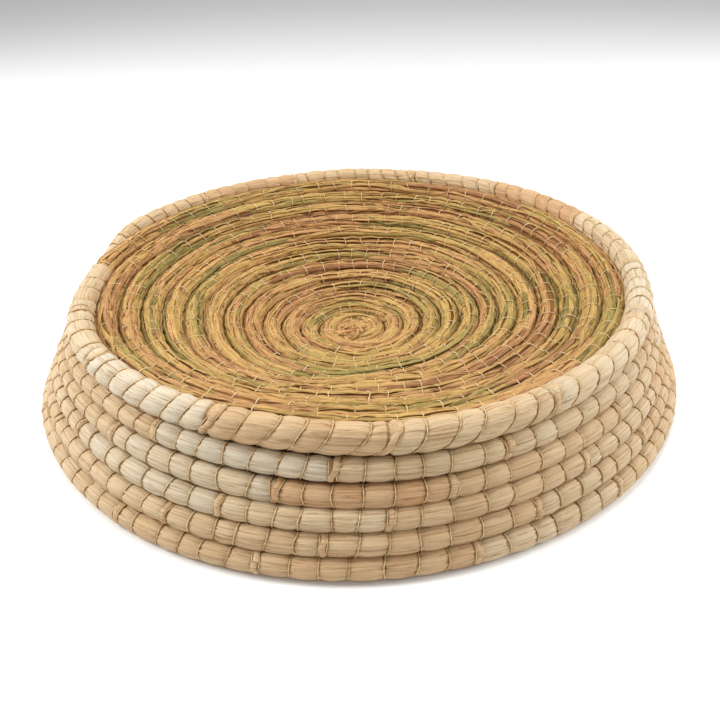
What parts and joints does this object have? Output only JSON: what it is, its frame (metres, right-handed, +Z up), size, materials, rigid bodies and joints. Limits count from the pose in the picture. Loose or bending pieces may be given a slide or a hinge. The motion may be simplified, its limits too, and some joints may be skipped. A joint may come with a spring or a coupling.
{
  "type": "chair seat pad",
  "caption": "Round coiled seat pad of stitched dry grass with a dished seat and a flared wall wrapped in maize husk.",
  "frame": {"origin": "under the middle of the foot, on the floor the pad stands on", "axes": "+Z up out of the dished seat; -Y is the front, where the wall shows six courses"},
  "size_m": [0.4478, 0.4462, 0.0747],
  "materials": {
    "dry_grass": "matte",
    "maize_husk": "satin",
    "husk_fold": "satin",
    "thread": "matte"
  },
  "bodies": {
    "root": {"grass_turn_01": "dry_grass", "grass_turn_02": "dry_grass", "grass_turn_03": "dry_grass", "grass_turn_04": "dry_grass", "grass_turn_05": "dry_grass", "grass_turn_06": "dry_grass", "grass_turn_07": "dry_grass", "grass_turn_08": "dry_grass", "grass_turn_09": "dry_grass", "grass_turn_10": "dry_grass", "grass_turn_11": "dry_grass", "grass_turn_12": "dry_grass", "grass_turn_13": "dry_grass", "husk_collars_course_1": "husk_fold", "husk_collars_course_2": "husk_fold", "husk_collars_course_3": "husk_fold", "husk_collars_course_4": "husk_fold", "husk_collars_course_5": "husk_fold", "husk_collars_rim": "husk_fold", "husk_leaves_course_1": "maize_husk", "husk_leaves_course_2": "maize_husk", "husk_leaves_course_3": "maize_husk", "husk_leaves_course_4": "maize_husk", "husk_leaves_course_5": "maize_husk", "husk_leaves_rim": "maize_husk", "start_knot": "dry_grass", "thread_course_1": "thread", "thread_course_2": "thread", "thread_course_3": "thread", "thread_course_4": "thread", "thread_course_5": "thread", "thread_rim": "thread", "thread_turn_01": "thread", "thread_turn_02": "thread", "thread_turn_03": "thread", "thread_turn_04": "thread", "thread_turn_05": "thread", "thread_turn_06": "thread", "thread_turn_07": "thread", "thread_turn_08": "thread", "thread_turn_09": "thread", "thread_turn_10": "thread", "thread_turn_11": "thread", "thread_turn_12": "thread", "thread_turn_13": "thread", "wall_core_course_1": "dry_grass", "wall_core_course_2": "dry_grass", "wall_core_course_3": "dry_grass", "wall_core_course_4": "dry_grass", "wall_core_course_5": "dry_grass", "wall_core_rim": "dry_grass"}
  },
  "joints": []
}
